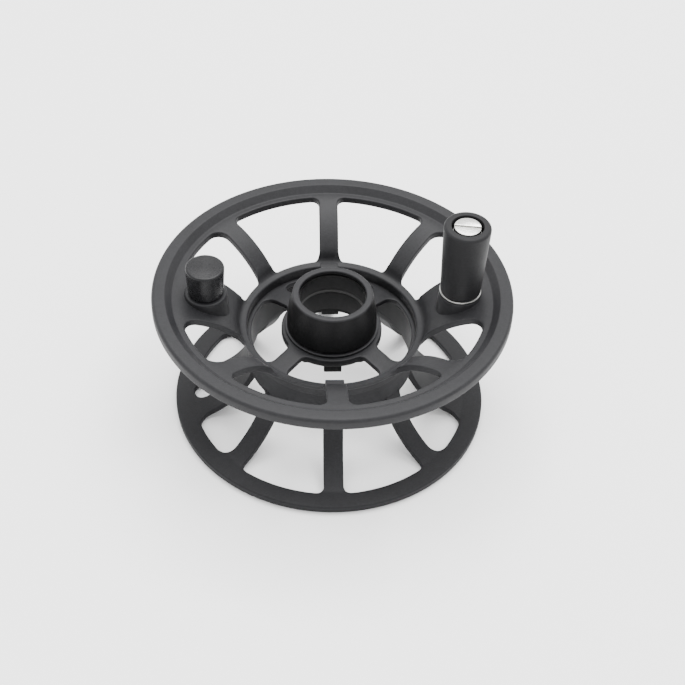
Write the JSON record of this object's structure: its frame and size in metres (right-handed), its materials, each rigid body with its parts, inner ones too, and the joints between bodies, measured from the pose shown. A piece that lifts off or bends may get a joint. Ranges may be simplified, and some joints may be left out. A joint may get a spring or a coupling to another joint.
{
  "type": "fishing reel spool",
  "caption": "Black large-arbor fly-fishing reel spool with windowed dished flanges, a central hub on a spider, a spinning handle knob and a counterweight.",
  "frame": {"origin": "on the spool's axis, at the face of the smaller flange that it rests on", "axes": "+Z along the spool's axis, towards the handle side; +X towards the handle; -X towards the counterweight"},
  "size_m": [0.085, 0.085, 0.0548],
  "materials": {
    "front_flange": "satin black anodised",
    "arbor": "satin black anodised",
    "back_flange": "satin black anodised",
    "hub_spider": "satin black anodised",
    "hub": "semi-gloss black anodised",
    "hub_retaining_ring": "semi-gloss black",
    "hub_lower_bush": "dark bearing plastic",
    "hub_upper_bush": "dark bearing plastic",
    "hub_o_ring": "matt",
    "hub_spring_clip": "blackened spring steel",
    "handle_post": "turned",
    "handle_post_screw": "turned",
    "handle_base_washer": "bright",
    "knob": "semi-gloss black",
    "knob_lower_bush": "dark bearing plastic",
    "knob_upper_bush": "dark bearing plastic",
    "knob_wave_washer": "spring steel",
    "knob_screw": "bright",
    "counterweight": "semi-gloss black",
    "counterweight_screw": "turned"
  },
  "bodies": {
    "spool": {"front_flange": "front_flange", "arbor": "arbor", "back_flange": "back_flange", "hub_spider": "hub_spider", "hub": "hub", "hub_retaining_ring": "hub_retaining_ring", "hub_lower_bush": "hub_lower_bush", "hub_upper_bush": "hub_upper_bush", "hub_o_ring": "hub_o_ring", "hub_spring_clip": "hub_spring_clip", "handle_post": "handle_post", "handle_post_screw": "handle_post_screw", "handle_base_washer": "handle_base_washer", "knob_wave_washer": "knob_wave_washer", "knob_screw": "knob_screw", "counterweight": "counterweight", "counterweight_screw": "counterweight_screw"},
    "knob_body": {"knob": "knob", "knob_lower_bush": "knob_lower_bush", "knob_upper_bush": "knob_upper_bush"}
  },
  "joints": [
    {"name": "knob_spin", "type": "hinge", "parent": "spool", "child": "knob_body", "pos_m": [0.0301, 0, 0.045], "axis": [0, 0, 1], "continuous": true}
  ]
}
